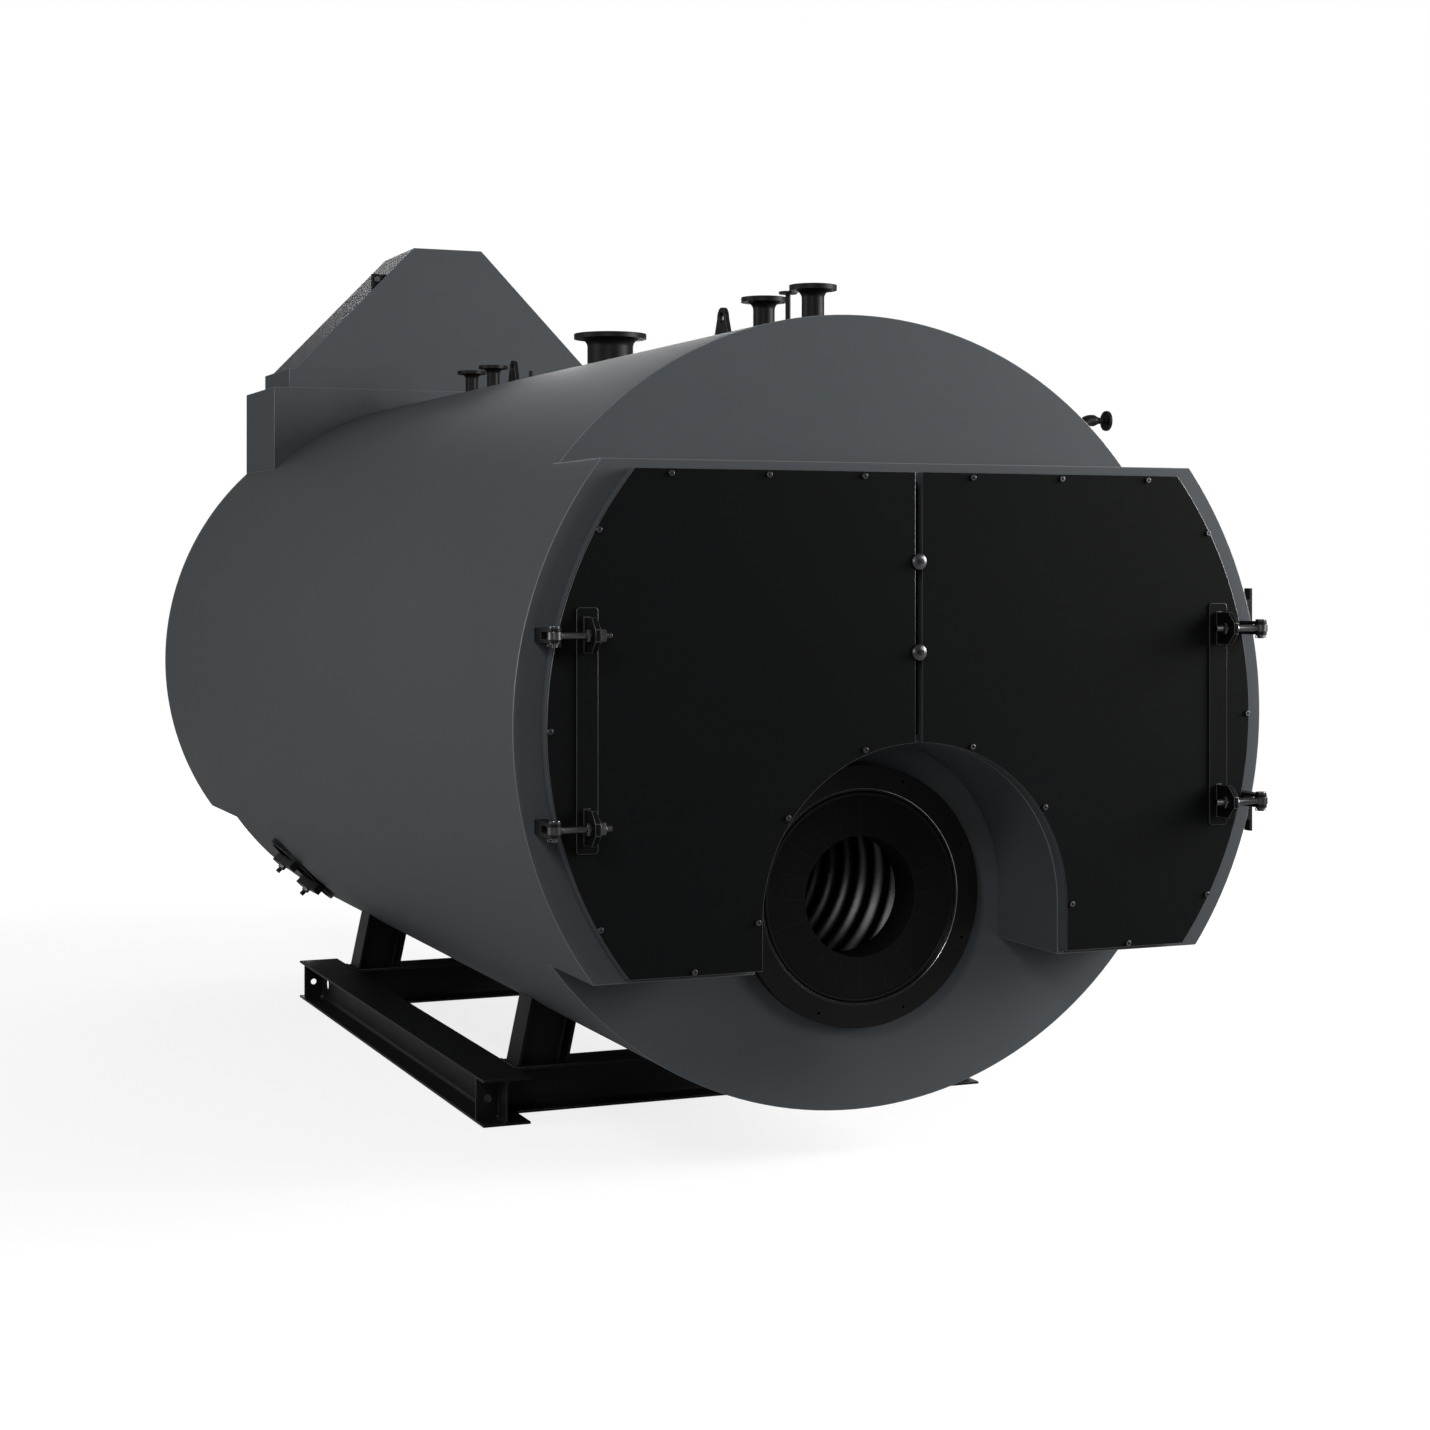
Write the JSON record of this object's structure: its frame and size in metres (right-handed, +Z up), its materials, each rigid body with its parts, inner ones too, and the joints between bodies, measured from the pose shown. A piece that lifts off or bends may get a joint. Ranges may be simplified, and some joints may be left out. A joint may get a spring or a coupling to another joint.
{
  "type": "industrial boiler",
  "caption": "Horizontal shell boiler on a steel beam base, with hinged front doors, a burner opening, top nozzles and a rear flue hood.",
  "frame": {"origin": "on the floor under the middle of the front cross beam, on the centre plane", "axes": "+Z up, +Y from the doors to the rear, +X to the right as seen from the front"},
  "size_m": [3.057, 6.98, 4.103],
  "materials": {
    "cladding": "satin",
    "door_black": "satin",
    "frame_black": "satin",
    "dark_steel": "satin",
    "refractory": "matt",
    "boiler_steel": "matt"
  },
  "bodies": {
    "root": {"shell_jacket": "cladding", "front_cover_upper": "cladding", "front_cover_lower": "cladding", "front_casing": "cladding", "casing_roof": "cladding", "burner_arch": "cladding", "rear_casing": "cladding", "rear_cover": "cladding", "rear_cover_lower": "cladding", "rear_cleaning_doors": "cladding", "hood_base": "cladding", "hood_top": "cladding", "flue_outlet": "cladding", "casing_mullion": "door_black", "base_beam_left": "frame_black", "base_beam_right": "frame_black", "cross_beam_front": "frame_black", "cross_beam_rear": "frame_black", "beam_stiffeners": "frame_black", "legs_front": "frame_black", "legs_rear": "frame_black", "steam_nozzle": "frame_black", "front_nozzles": "frame_black", "rear_nozzles": "frame_black", "vent_pipes": "frame_black", "lifting_lugs": "frame_black", "side_connection": "frame_black", "side_rail": "frame_black", "hood_lugs": "frame_black", "burner_flange": "frame_black", "hinge_brackets_left": "frame_black", "hinge_brackets_right": "frame_black", "manhole_neck": "frame_black", "manhole_cover": "frame_black", "manhole_bridges": "frame_black", "hinge_pins_left": "dark_steel", "hinge_pins_right": "dark_steel", "refractory_throat": "refractory", "front_end_plate": "boiler_steel", "flame_tube": "boiler_steel"},
    "door_left": {"door_left_pan": "cladding", "door_left_sheet": "door_black", "door_left_strap": "frame_black", "door_left_eye_bolts": "dark_steel"},
    "door_right": {"door_right_pan": "cladding", "door_right_sheet": "door_black", "door_right_strap": "frame_black", "door_right_eye_bolts": "dark_steel"}
  },
  "joints": [
    {"name": "door_left_hinge", "type": "hinge", "parent": "root", "child": "door_left", "pos_m": [-1.401, -2.01, 1.7], "axis": [0, 0, -1], "range_deg": [0, 100]},
    {"name": "door_right_hinge", "type": "hinge", "parent": "root", "child": "door_right", "pos_m": [1.401, -2.01, 1.7], "axis": [0, 0, 1], "range_deg": [0, 100]}
  ]
}
